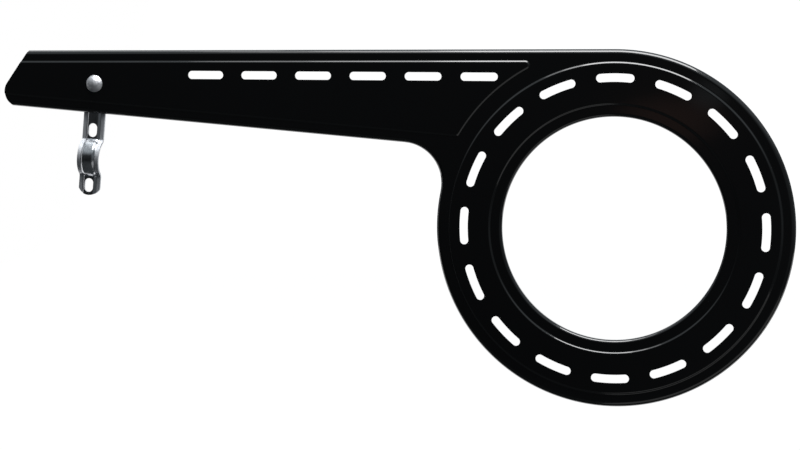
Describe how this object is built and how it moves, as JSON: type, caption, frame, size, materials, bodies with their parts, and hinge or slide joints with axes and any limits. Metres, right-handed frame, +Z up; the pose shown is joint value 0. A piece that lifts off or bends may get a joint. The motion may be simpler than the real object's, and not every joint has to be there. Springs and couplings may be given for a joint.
{
  "type": "bicycle chain guard",
  "caption": "Pressed sheet chain guard: slotted ring round the crank, tapering arm over the chain, and a swivelling clamp bracket riveted near its rear end.",
  "frame": {"origin": "on the crank axis, in the plane of the rear edge of the crank opening's turned lip", "axes": "+X to the front of the bicycle, +Y from the outside towards the bicycle, +Z up"},
  "size_m": [0.4943, 0.0093, 0.2138],
  "materials": {
    "gloss_black": "deep gloss black enamel",
    "zinc_plate": "bright zinc plating with fine drawn lines along the strip",
    "rivet_metal": "satin"
  },
  "bodies": {
    "guard": {"guard_plate": "gloss_black", "rivet": "rivet_metal"},
    "bracket": {"stay_bracket": "zinc_plate"}
  },
  "joints": [
    {"name": "bracket_swivel", "type": "hinge", "parent": "guard", "child": "bracket", "pos_m": [-0.3268, 0, 0.0841], "axis": [0, 1, 0], "range_deg": [-40, 40]}
  ]
}
